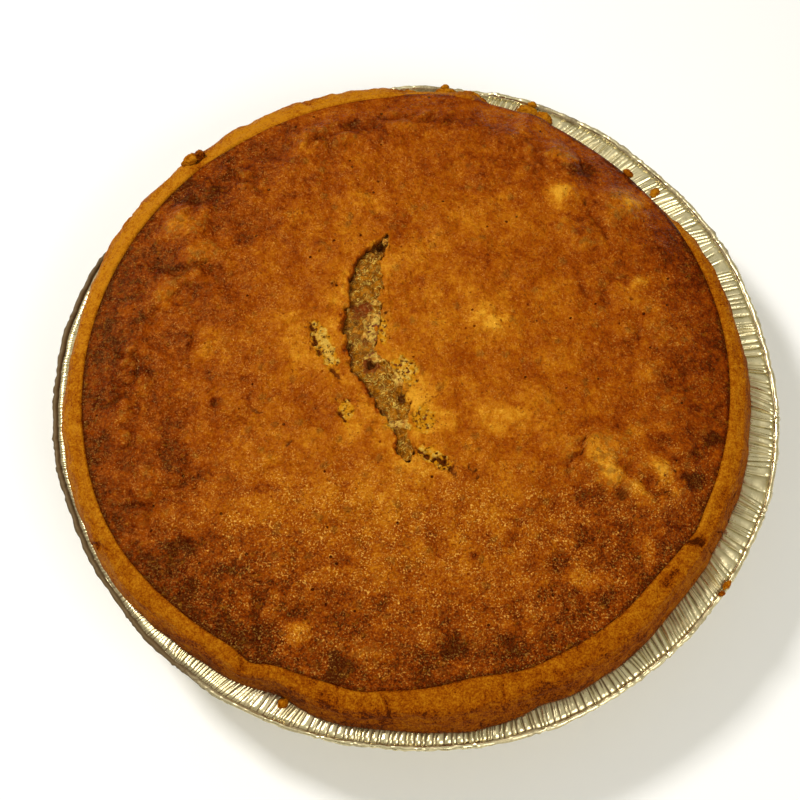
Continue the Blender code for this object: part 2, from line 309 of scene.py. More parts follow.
def makeCamera():
    rise, roll = math.radians(view["elevation"]), math.radians(view["roll"])
    back = Vector((0.0, -math.cos(rise), math.sin(rise)))
    right = Vector((1.0, 0.0, 0.0))
    up = back.cross(right)
    turned = right * math.cos(roll) + up * math.sin(roll)
    upright = up * math.cos(roll) - right * math.sin(roll)
    camera = bpy.data.objects.new("camera", bpy.data.cameras.new("camera"))
    place = (Vector(view["aim"]) + back * view["distance"]) * mm
    camera.matrix_world = Matrix.Translation(place) @ Matrix((turned, upright, back)).transposed().to_4x4()
    camera.data.lens = view["lens"]
    camera.data.sensor_width = view["sensor"]
    bpy.context.scene.collection.objects.link(camera)
    bpy.context.scene.camera = camera


# Studio: pale floor, a small lamp on the far left, a weaker and larger one on the near right, and a
# room that is bright above and dim low down
studio = dict(
    lamps=[  # place, size, power and colour
        ((-0.52, 0.34, 0.80), 0.18, 7.2, (1.0, 0.97, 0.93)),
        ((0.46, -0.58, 0.72), 0.50, 4.4, (1.0, 0.97, 0.92)),
    ],
    lampsAim=(0.0, 0.0, 0.03),
    room=[(0.0, (0.10, 0.080, 0.035)), (0.38, (0.26, 0.225, 0.11)), (0.62, (0.92, 0.88, 0.68)),
          (1.0, (1.0, 0.98, 0.88))],
    roomPower=0.48, floor=(0.94, 0.95, 0.97), floorRough=0.9, floorWidth=40.0,
)


def makeStudio():
    scene = bpy.context.scene
    scene.view_settings.view_transform = "Standard"
    scene.view_settings.look = "None"
    for place, size, power, colour in studio["lamps"]:
        light = bpy.data.lights.new("lamp", "AREA")
        light.size = size
        light.energy = power
        light.color = colour
        lamp = bpy.data.objects.new("lamp", light)
        lamp.location = place
        lamp.rotation_mode = "QUATERNION"
        aim = Vector(studio["lampsAim"]) - Vector(place)
        lamp.rotation_quaternion = aim.to_track_quat("-Z", "Y")
        scene.collection.objects.link(lamp)

    world = bpy.data.worlds.new("room")
    world.use_nodes = True
    nodes, links = world.node_tree.nodes, world.node_tree.links
    toward = nodes.new("ShaderNodeTexCoord")
    split = nodes.new("ShaderNodeSeparateXYZ")
    rise = nodes.new("ShaderNodeValToRGB")
    fillRamp(rise.color_ramp, studio["room"])
    links.new(toward.outputs["Generated"], split.inputs["Vector"])
    links.new(split.outputs["Z"], rise.inputs["Fac"])
    links.new(rise.outputs["Color"], nodes["Background"].inputs["Color"])
    nodes["Background"].inputs["Strength"].default_value = studio["roomPower"]
    scene.world = world

    paper = Finish("paper", Roughness=studio["floorRough"])
    paper.wear(Base_Color=(*studio["floor"], 1.0))
    bm = bmesh.new()
    bmesh.ops.create_grid(bm, x_segments=1, y_segments=1, size=studio["floorWidth"])
    mesh = bpy.data.meshes.new("floor")
    bm.to_mesh(mesh)
    bm.free()
    floor = bpy.data.objects.new("floor", mesh)
    mesh.materials.append(paper.material)
    scene.collection.objects.link(floor)
    print("camera, light and floor")


# Foil tin: pleated flange, rolled bead and a fluted wall down to a flat base
foil = dict(
    steps=3600, thickness=0.30, rim=120.0, bead=0.85, flangeRows=8, beadRows=5, wallRows=3,
    pleats=500, finerPleats=620, pleatTilt=0.70, wallFlutes=182, pleatDepth=0.44, beadLump=0.22, groove=0.60,
    near=((200.0, 25.0), (325.0, 25.0)), left=((140.0, 20.0), (245.0, 25.0)), far=((25.0, 15.0), (140.0, 20.0)),
    nearTilt=0.10, rightLean=0.020,
    rimWaves=[(0.28, 46, 32), (0.12, 190, 30)], leanWaves=[(0.022, 80, 37), (0.014, 31, 29)],
    liftWaves=[(0.12, 330, 28)], dropWaves=[(0.25, 14, 31)],
    colour=(0.83, 0.73, 0.44), baked=(0.42, 0.26, 0.08), crease=(0.085, 0.041, 0.009), roughness=0.24,
    sags=[  # where the rim is pressed in and down: start, end, how far in and how far down
        ((97.0, 6.0), (157.0, 8.0), 2.4, 2.0), ((4.0, 6.0), (50.0, 8.0), 0.8, 0.0),
        ((80.0, 5.0), (99.0, 5.0), 1.2, 0.2),
    ],
)


def foilMaterial():
    skin = Finish("crimpedFoil", Specular_IOR_Level=0.15)
    stain = skin.times(skin.span(skin.noise(9.0, 3.0), 0.50, 0.75), 0.30)
    colour = skin.mix(stain, foil["colour"], foil["baked"])
    # Painted shade: the crease mark paints the pleat valleys, the groove before the bead and the bead's underside
    # dark brown, and makes them rougher and less metallic; it also browns the bead and the flange's left side
    crease = skin.span(skin.add(skin.mark("crease"), skin.sway(0.8, 0.08)), 0.38, 0.82)
    colour = skin.mix(skin.times(crease, 0.93), colour, foil["crease"])
    rough = skin.span(skin.noise(4.0), 0.3, 0.7, foil["roughness"], foil["roughness"] + 0.14)
    rough = skin.add(rough, skin.times(crease, 0.25))
    metal = skin.span(crease, 0.0, 1.0, 1.0, 0.15)
    relief = skin.bump(skin.noise(0.9, 2.0), 0.07)
    return skin.wear(Base_Color=colour, Metallic=metal, Roughness=rough, Normal=relief)


# Rounded pleats of uneven width and tilt with sharp valleys between them: height from -1 to 1, and
# how near the valley is, from 0 to 1
def pleatWave(angle, count, seed, lean=0.0):
    draw = np.random.RandomState(seed)
    widths = 0.55 + draw.rand(count) ** 1.5 * 1.3
    tilts = foil["pleatTilt"] * (draw.rand(count) * 2.0 - 1.0)
    widths = widths * (1.25 + 0.45 * np.cos(np.arange(count) / count * fullTurn - 0.2))  # widest on the right
    edges = np.concatenate(([0.0], np.cumsum(widths))) / widths.sum()
    turn = ((angle + lean) / fullTurn) % 1.0
    phase = np.interp(turn, edges, np.arange(count + 1))
    cell = np.floor(phase).astype(int)
    part = phase - cell
    crest = 2.0 * np.abs(np.sin(part * math.pi)) ** 0.6 - 1.0
    return crest + tilts[cell % count] * (2.0 * part - 1.0), 1.0 - 2.0 * np.minimum(part, 1.0 - part)


def makeFoil():
    angle = np.arange(foil["steps"]) / foil["steps"] * fullTurn
    near, left, far = (sector(angle, *foil[side]) for side in ("near", "left", "far"))
    drop = uneven(angle, foil["dropWaves"])
    rim = foil["rim"] + 0.20 * (np.cos(3 * angle + 0.6) + np.cos(7 * angle + 2.0))
    rim = rim + uneven(angle, foil["rimWaves"]) - 0.5 * near
    for start, end, inward, down in foil["sags"]:
        drop = drop + down * sector(angle, start, end)
        rim = rim - inward * sector(angle, start, end)
    lean = uneven(angle, foil["leanWaves"])
    lean = lean + foil["rightLean"] * np.maximum(0.0, np.cos(angle - math.radians(10)))
    depth = foil["pleatDepth"] * (0.85 + 0.4 * roundAbout(angle, 120, 38))
    calm = 1.0 - 0.30 * smooth(0.45, 0.8, roundAbout(angle, 26, 39)) * (1 - 0.8 * near)
    lift = uneven(angle, foil["liftWaves"])
    radii, heights, creases, turns = [], [], [], []

    def row(radius, height, crease=0.0, across=0.0):
        radii.append(radius + 0.0 * angle)
        heights.append(height + 0.0 * angle)
        creases.append(crease + 0.0 * angle)
        turns.append(-lean * across)

    def pleat(across):
        wave, valley = pleatWave(angle, foil["pleats"], 33)
        finerLean = 0.010 * roundAbout(angle, 60, 36) * across
        finer, finerValley = pleatWave(angle, foil["finerPleats"], 34, finerLean)
        merged = smooth(0.15, 0.85, across + 0.55 * roundAbout(angle, 150, 27))  # where the finer pleats end
        wave = wave * (0.55 + 0.45 * merged) + 0.45 * (1 - merged) * finer
        # Painted shade in the pleat valleys, stronger on the near side, and towards the groove before the bead; the
        # flange's left side is browner too
        valley = np.maximum(valley * (0.72 + 0.28 * near), finerValley * (1 - merged))
        edge = 0.52 * float(smooth(0.84, 1.0, across)) + 0.15 * left
        fold = depth * calm * wave * (1 - 0.6 * float(smooth(0.72, 1.0, across)))
        return fold, np.maximum(valley**2 * calm * (0.80 + 0.20 * near), edge)

    flangeEnd = rim - 2.3 * foil["bead"]
    span = flangeEnd - plan["flangeRadius"]

    def flange(across):
        slope = plan["flangeSlope"] - foil["nearTilt"] * near
        return plan["flangeHeight"] + span * across * slope - drop * across

    def wallRadius(share):  # from the base's corner, 0, to the flange, 1
        low, high = plan["baseRadius"] + 2.0, plan["flangeRadius"] - 0.6
        return low + (high - low) * share + wallPleat * wallDepth * (0.35 + 0.65 * share)

    wallPleat = np.sin(foil["wallFlutes"] * angle + 2.2 * roundAbout(angle, 70, 35))
    wallDepth = 0.50 + 0.20 * roundAbout(angle, 60, 40)
    row(0.0, foil["thickness"])
    row(plan["baseRadius"], foil["thickness"] + 0.1)
    for share in (0.0, 0.94):
        row(wallRadius(share) - foil["thickness"], 1.6 + 27.2 * share)
    for index in range(foil["flangeRows"]):
        across = index / (foil["flangeRows"] - 1)
        fold, crease = pleat(across)
        shoulder = -0.7 * (1.0 - min(1.0, across * 5.0)) ** 2
        row(plan["flangeRadius"] + span * across, flange(across) + 0.45 + shoulder + fold, crease, across)
    # The groove before the bead, painted dark as shade
    row(rim - 2.05 * foil["bead"], flange(1.0) + 0.15 - 0.5 * foil["groove"] + lift, 0.85, 1.0)
    beadMiddle = rim - foil["bead"]
    beadHeight = flange(1.0) + 0.55 * foil["bead"]
    for index in range(foil["beadRows"]):
        turn = math.radians(160.0 - 290.0 * index / (foil["beadRows"] - 1))
        lump = foil["beadLump"] * (roundAbout(angle, 560, 41 + index) + 0.8 * roundAbout(angle, 150, 60))
        # The bead is tinted brown, most on the left; its last row, on the underside, is painted dark as shade
        tinted = np.maximum(0.35 + 0.12 * far + 0.25 * roundAbout(angle, 170, 61), 0.95 * left)
        size = foil["bead"] + lump
        row(beadMiddle + size * np.cos(turn), beadHeight + size * np.sin(turn), tinted if index < 4 else 0.75, 1.0)
    for across in (0.8, 0.03):
        fold, crease = pleat(across)
        row(plan["flangeRadius"] + span * across + 0.25, flange(across) + 0.1 + fold, 0.0, across)
    for index in range(foil["wallRows"]):
        share = 0.96 * (1.0 - index / (foil["wallRows"] - 1))
        row(wallRadius(share), 1.3 + 27.6 * share)
    row(plan["baseRadius"] - 0.6, 0.0)
    row(plan["baseRadius"] - 8.0, 0.0)
    row(plan["baseRadius"] - 9.0, 0.12)
    row(0.0, 0.12)
    bm = wrapped(np.array(radii), np.array(heights), {"crease": np.array(creases)}, np.array(turns))
    newPiece("crimpedTin", bm, foilMaterial(), "foil_tin")


# Pastry: a soft flat ridge with a flaky outer face, folded and cracked where the dough was joined
pastry = dict(
    steps=1500, crestRows=34, innerRoll=0.12, shelf=0.50, innerDrop=0.5, shelfDrop=0.9, fall=1.9,
    rough=0.30, flake=0.45, ragged=0.80,
    dents=[  # start, end, and how far the lip, the foot and the top move there
        ((92.0, 5.0), (132.0, 8.0), -0.8, 0.0, 0.0), ((83.0, 3.0), (94.0, 3.0), 0.0, -1.3, -0.9),
    ],
    swells=[((97.0, 4.0), (124.0, 6.0), 0.9), ((186.0, 6.0), (222.0, 8.0), 1.3)],  # start, end, how far out
    upperLeft=((85.0, 10.0), (172.0, 10.0)), farLeft=((165.0, 10.0), (228.0, 10.0)),
    nearSide=((212.0, 12.0), (312.0, 14.0)),
    seams=[  # angle and share of the width at each end, depth, half width in degrees
        (-95.4, 0.05, -93.2, 0.75, 0.9, 0.3), (-74.8, 0, -75.6, 0.62, 0.8, 0.28),
        (-119.5, 0, -117.4, 0.55, 0.9, 0.45), (-32.8, 0, -31.6, 0.5, 1.6, 0.8),
        (110.2, 0.5, 112, 0.9, 0.7, 0.35), (134, 0.35, 133.2, 1, 0.9, 0.5),
    ],
    scorches=[  # angle, share of the width, half width in degrees and share, darkness
        (-32.6, 0.16, 1.7, 0.26, 0.3), (-40.6, 0.32, 1.6, 0.24, 0.62), (-31.4, 0.42, 1.2, 0.2, 0.4),
        (-103.5, 0.5, 1.2, 0.2, 0.4), (-25, 0.06, 6, 0.16, -0.22), (-21.5, 0.45, 1, 0.16, 0.3),
        (134.5, 0.1, 1.4, 0.4, 0.45), (93.5, 0.6, 1.6, 0.4, 0.4), (83, 0.3, 6, 0.6, 0.14),
        (-70, 0.5, 4, 0.1, 0.16), (-88, 0.62, 4, 0.08, 0.16), (-97, 0.7, 3, 0.1, 0.14),
        (-132, 0.3, 6, 0.14, -0.1),
    ],
    colours=[(0.0, (0.46, 0.172, 0.0055)), (0.30, (0.350, 0.106, 0.0022)), (0.60, (0.252, 0.057, 0.0008)),
             (0.85, (0.158, 0.026, 0.0005)), (1.0, (0.065, 0.010, 0.0003))],
)


def pastryMaterial():
    dough = Finish("bakedPastry", Roughness=0.62, Specular_IOR_Level=0.08, Specular_Tint=(1.0, 0.58, 0.10, 1.0))
    browningAndShade = dough.add(dough.mark("browningAndShade"), dough.sway(13, 0.13), dough.sway(3.2, 0.20))
    browningAndShade = dough.add(browningAndShade, dough.sway(1.0, 0.20, 2.0), dough.sway(0.5, 0.17, 1.0))
    speck = dough.span(dough.cells(2.3), 0.08, 0.20, 0.42, 0.0)
    browningAndShade = dough.add(browningAndShade, dough.times(speck, dough.span(dough.noise(6), 0.48, 0.60)))
    colour = dough.ramp(browningAndShade, pastry["colours"])
    relief = dough.add(dough.noise(1.1, 3.0), dough.times(dough.noise(0.4, 2.0), 0.5))
    return dough.wear(Base_Color=colour, Normal=dough.bump(relief, 0.35))


def seamDepth(angle, across):
    place, total = np.degrees(angle), 0.0
    for a0, s0, a1, s1, depth, width in pastry["seams"]:
        share = (across - s0) / (s1 - s0)
        inside = float(smooth(-0.12, 0.05, share) * (1 - smooth(0.9, 1.1, share)))
        wander = 0.35 * width * math.sin(9.0 * across + a0)
        away = degreesApart(place, a0 + (a1 - a0) * share + wander) / width
        total = total + depth * inside * np.exp(-(away**2))
    return total


def scorched(angle, across):
    place, total = np.degrees(angle), 0.0
    for spot, middle, width, deep, dark in pastry["scorches"]:
        ragged = 0.5 * roundAbout(angle, 400, 75) + 0.4 * roundAbout(angle + 1.7 * across, 300, 70)
        away = (degreesApart(place, spot) / width + ragged) ** 2 + ((across - middle) / deep) ** 2
        total = total + dark * np.exp(-away)
    return total


def makePastry():
    angle = np.arange(pastry["steps"]) / pastry["steps"] * fullTurn
    lip, foot, top = lipRadius(angle), footRadius(angle), pastryTop(angle)
    foot = foot + 0.35 * roundAbout(angle, 110, 76) * (1 - missing(angle))
    for start, end, lipShift, footShift, topShift in pastry["dents"]:
        dent = sector(angle, start, end)
        lip, foot, top = lip + lipShift * dent, foot + footShift * dent, top + topShift * dent
    width = foot - lip
    seat = flangeHeight(foot) + plan["foil"] + 0.40
    swollen = sector(angle, plan["bulgeFrom"], plan["bulgeTo"])
    bulge = plan["bulge"] * swollen + pastry["ragged"] * swollen * roundAbout(angle, 95, 77)
    for start, end, outward in pastry["swells"]:
        bulge = bulge + outward * sector(angle, start, end)
    around = angle / fullTurn * grainCells
    upperLeft, farLeft, nearSide = (sector(angle, *pastry[side]) for side in ("upperLeft", "farLeft", "nearSide"))
    tall = np.clip((top - seat) / 8.0, 0.0, 1.0)
    radii, heights, toasts = [], [], []

    def row(radius, height, browningAndShade=0.5):
        radii.append(radius + 0.0 * angle)
        heights.append(height + 0.0 * angle)
        toasts.append(browningAndShade + 0.0 * angle)

    row(0.0, plan["pastryFloor"] + plan["pastry"])
    row(plan["baseRadius"] - plan["pastry"], plan["pastryFloor"] + plan["pastry"])
    row(plan["wallRadius"], plan["wallHeight"])
    row(lip - 0.3, top - pastry["innerDrop"] - 3.0)
    inner, shelf = pastry["innerRoll"], pastry["shelf"]
    for index in range(pastry["crestRows"]):
        across = index / (pastry["crestRows"] - 1)
        below = pastry["innerDrop"] * max(0.0, (inner - across) / inner) ** 2
        below = below + pastry["shelfDrop"] * float(np.clip((across - inner) / (shelf - inner), 0, 1)) ** 1.6
        fallen = max(0.0, (across - shelf) / (1 - shelf)) ** pastry["fall"]
        below = below + (top - pastry["shelfDrop"] - seat) * fallen
        outer = float(smooth(0.42, 0.78, across))
        edge = 1.0 - abs(2.0 * across - 1.0) ** 8
        flake = grains(around * 5, across * 8.0 + 0 * angle, 71, 3) * pastry["flake"] * (0.25 + 0.75 * outer)
        layer = grain(around * 2, across * 20.0 + 1.6 * roundAbout(angle, 40, 72), 73)
        split = smooth(0.10, 0.0, np.abs(grain(around * 1.6, across * 5.0 + roundAbout(angle, 70, 75), 78)))
        split = split * smooth(0.1, 0.5, grain(around * 0.7, across * 2.0 + 0 * angle, 79)) * outer
        lump = grains(around * 2.6, across * 2.6 + 0 * angle, 74, 3) * pastry["rough"] * 1.6
        seam = seamDepth(angle, across)
        out = bulge * float(smooth(0.45, 0.85, across) * (1 - smooth(0.94, 1.0, across)))
        radius = lip + across * width + out + (0.7 * flake + 0.30 * layer * outer - 0.5 * split) * edge
        relief = lump + 0.4 * flake + 0.15 * layer * outer - 0.35 * split - seam
        # Painted shade: darker on the outer face, in the splits and seams, and along the inner edge where the
        # pastry meets the filling (except on the upper left). The pastry is also lighter on the upper left, darker
        # on the near side and a little darker at the foot.
        browningAndShade = 0.35 + 0.20 * outer * (1 - 0.8 * farLeft) - 0.25 * upperLeft - 0.08 * farLeft + 0.15 * nearSide
        browningAndShade = browningAndShade + 0.12 * layer * outer + 0.55 * split + 0.32 * seam + scorched(angle, across)
        browningAndShade = browningAndShade + 0.20 * (1 - upperLeft) * float(smooth(0.07, 0.0, across))
        row(radius, top - below + relief * edge * tall, browningAndShade + 0.06 * float(smooth(0.9, 1.0, across)))
    row(foot - 0.9, seat - 0.3)
    row(plan["flangeRadius"] - 0.4, flangeHeight(plan["flangeRadius"]) + 1.2)
    row(plan["flangeRadius"] - 2.2, plan["flangeHeight"] - 1.3)
    row(plan["baseRadius"] + 0.9, plan["pastryFloor"] + 1.7)
    row(plan["baseRadius"] - 1.4, plan["pastryFloor"])
    row(0.0, plan["pastryFloor"])
    bm = wrapped(np.array(radii), np.array(heights), {"browningAndShade": np.array(toasts)})
    newPiece("pastryCrust", bm, pastryMaterial(), "pastry_shell")


# The burst: course of each crack, x, y and half width at each turn, in millimetres
burst = dict(
    long=[
        (-10.3, 48.6, 0.5), (-12.2, 44.5, 2.1), (-15.4, 40.5, 2.8), (-16.8, 37, 4.5), (-17, 30, 5.4),
        (-17.6, 23.5, 5.8), (-18, 18, 5.7), (-18.2, 13, 5.4), (-18.6, 8, 4.7), (-17.8, 4, 4.6), (-15, 0, 5),
        (-12.4, -3.8, 5.3), (-10, -7.5, 5.8), (-8, -11, 5.7), (-6.6, -15, 4.5), (-5.8, -18.2, 3.6),
        (-5, -21.6, 2.4), (-4.3, -24.5, 2), (-3.4, -28.3, 3), (-2.6, -32, 1.1),
    ],
    depth=4.0,
    pits=[  # x, y, radius and depth of each smaller hole
        (6.6, -29.8, 0.7, 1.2), (9.4, -30.6, 0.5, 0.9), (9, -32.4, 1.5, 2), (11.2, -34.6, 1.2, 1.8),
        (6.4, -31.4, 1, 1.5), (2.6, -26.6, 0.5, 0.9), (0.2, -20.4, 0.6, 0.9), (3.6, -20, 0.5, 0.8),
        (5.6, -22.6, 0.6, 0.9), (-1.6, 1.4, 0.6, 0.9), (-4, 3, 0.5, 0.8), (0.6, -4.6, 0.6, 0.9),
        (1.6, -7.8, 0.5, 0.8), (3.4, -24.6, 0.5, 0.8), (6.6, -18.6, 0.5, 0.8), (-9.4, 16.4, 0.5, 0.8),
        (-8.8, 10, 0.5, 0.8), (-36.6, 14.2, 0.7, 1.4), (-30.4, 11, 0.6, 1.2), (-27.4, 4.6, 0.6, 1.2),
        (-25.6, 0.6, 0.6, 1.2), (-20.6, -15.8, 0.6, 1), (-22.6, -12, 0.5, 1), (16.6, -33.8, 0.8, 1.2),
        (18.2, -35.4, 0.9, 1.4), (19.8, -37.4, 0.7, 1.2), (3.6, -12.6, 0.6, 1), (5.4, -16.4, 0.6, 1),
        (57.4, 64, 1.2, 1.5), (78.4, 63.6, 1, 1.2), (80.8, 64.8, 0.8, 1), (62, 46, 0.7, 0.9),
        (64.4, -41.7, 1.5, 2.6), (75.4, -37.9, 1, 1.2), (78.9, -40, 1.1, 1.4), (71.1, 26.5, 1.1, 1.3),
        (-35.5, -12.2, 0.6, 0.9), (-45.4, -5.2, 0.6, 0.9), (-63.7, -12.8, 1.2, 0.8), (-85, 36.4, 1.2, 1),
        (-73.5, -59.4, 1.1, 0.9), (13.8, -58.2, 0.7, 1), (95, -21.4, 1, 1.2), (38.1, -87, 1, 1),
        (10.9, -90.6, 1.2, 1), (-20.5, -96.8, 1.6, 1), (-34.4, -86.6, 0.8, 1.2), (-35.4, 84.4, 0.9, 1.1),
        (-41.5, 80.1, 0.8, 1), (87.5, -35.9, 1, 0.9),
    ],
    slits=[  # short dark tears in the skin
        [(0.4, -28.6, 0.7), (3.2, -30.4, 1.2), (6, -31.4, 0.8), (8.6, -33.2, 1.6), (10.6, -35, 1.2),
         (12.8, -36.8, 0.4)],
        [(-35.6, 16.6, 0.5), (-34.6, 14, 1.1), (-33.4, 10.4, 0.6), (-32.6, 7.4, 0.9), (-31.2, 4.2, 0.6),
         (-29.2, 1, 1), (-27, -1.8, 0.9), (-24.4, -4.4, 0.5)],
        [(-25.8, -11.2, 0.4), (-25.4, -14, 0.9), (-24.4, -16.6, 0.6), (-22.4, -19, 0.4)],
        [(-21.6, -11.6, 0.3), (-20, -13.2, 0.7), (-19, -14.6, 0.3)],
        [(-57.9, -10.1, 0.3), (-55.5, -10.9, 0.6), (-53.6, -10.5, 0.3)],
        [(-53.5, -15.3, 0.3), (-51, -16, 0.5), (-48, -16.6, 0.3)],
        [(-41, -27.7, 0.3), (-40.2, -27, 0.6), (-39.4, -26.1, 0.3)],
        [(-70.5, 38.2, 0.3), (-76, 35.5, 0.7), (-80, 33, 0.5), (-84, 36, 0.8)],
    ],
    sponge=[  # x, y, half width, half length, turn in degrees and strength of each torn, crumbly place
        (-4, -1.4, 4.4, 5.4, 35, 0.85), (2.2, -18, 3.8, 4.6, 10, 0.7), (-30, 7.2, 3.2, 9, 26, 1),
        (-11.4, 14, 1.6, 6, 8, 0.7), (-22.2, -15.6, 2.6, 4.4, 20, 0.7), (-5.2, -20.6, 4.2, 1.8, 0, 0.9),
        (5.6, -30.8, 6.4, 2.4, -32, 0.75), (-10.4, 45.6, 0.9, 1.2, 0, 0.9),
    ],
)


# How near each point is to a crack, as distance over the half width there: 1 is its edge
def crackShare(x, y, course):
    best = np.full(x.shape, 99.0)
    for (x0, y0, w0), (x1, y1, w1) in zip(course, course[1:]):
        dx, dy = x1 - x0, y1 - y0
        along = np.clip(((x - x0) * dx + (y - y0) * dy) / (dx * dx + dy * dy), 0.0, 1.0)
        away = np.hypot(x - x0 - along * dx, y - y0 - along * dy)
        best = np.minimum(best, away / (w0 + (w1 - w0) * along))
    return best


def rightward(x, y):  # 0 along the long crack's left edge, 1 along its right
    course = np.array(burst["long"])[::-1]
    middle, half = (np.interp(y, course[:, 1], course[:, axis]) for axis in (0, 2))
    return smooth(-0.4, 0.8, (x - middle) / half + 0.4 * grain(x / 2.8, y / 2.8, 80))


def tornEdge(x, y):
    ragged = 0.26 * grain(x / 3.4, y / 3.4, 81) + 0.17 * grain(x / 1.5, y / 1.5, 82)
    ragged = ragged + 0.12 * grain(x / 0.8, y / 0.8, 79)
    share = crackShare(x, y, burst["long"])
    return share + ragged * smooth(0.2, 1.0, share)


def holes(x, y):  # depth of the small pits and slits
    total = np.zeros(x.shape)
    rough = 1 + 0.75 * grain(x / 0.7, y / 0.7, 83)
    for order, (pitX, pitY, radius, depth) in enumerate(burst["pits"]):
        u, v = onLine(x, y, pitX, pitY, 2.4 * order)
        away = np.hypot(u / 1.35, v / 0.70) * rough / (0.75 * radius)
        total = np.maximum(total, depth * np.exp(-(away**2)))
    for course in burst["slits"]:
        away = crackShare(x, y, course) * (1 + 0.7 * grain(x / 0.8, y / 0.8, 84))
        broken = smooth(-0.55, 0.25, grain(x / 1.7, y / 1.7, 90))
        total = np.maximum(total, 1.3 * broken * np.exp(-(away**2)))
    return total


def spongeShare(x, y):
    total = np.zeros(x.shape)
    for placeX, placeY, across, along, turn, strength in burst["sponge"]:
        u, v = onLine(x, y, placeX, placeY, math.radians(turn))
        ragged = 0.28 * grain(x / 1.7, y / 1.7, 85) + 0.12 * grain(x / 0.7, y / 0.7, 86)
        away = np.hypot(u / across, v / along) + ragged
        total = np.maximum(total, strength * smooth(1.12, 0.75, away))
    return total


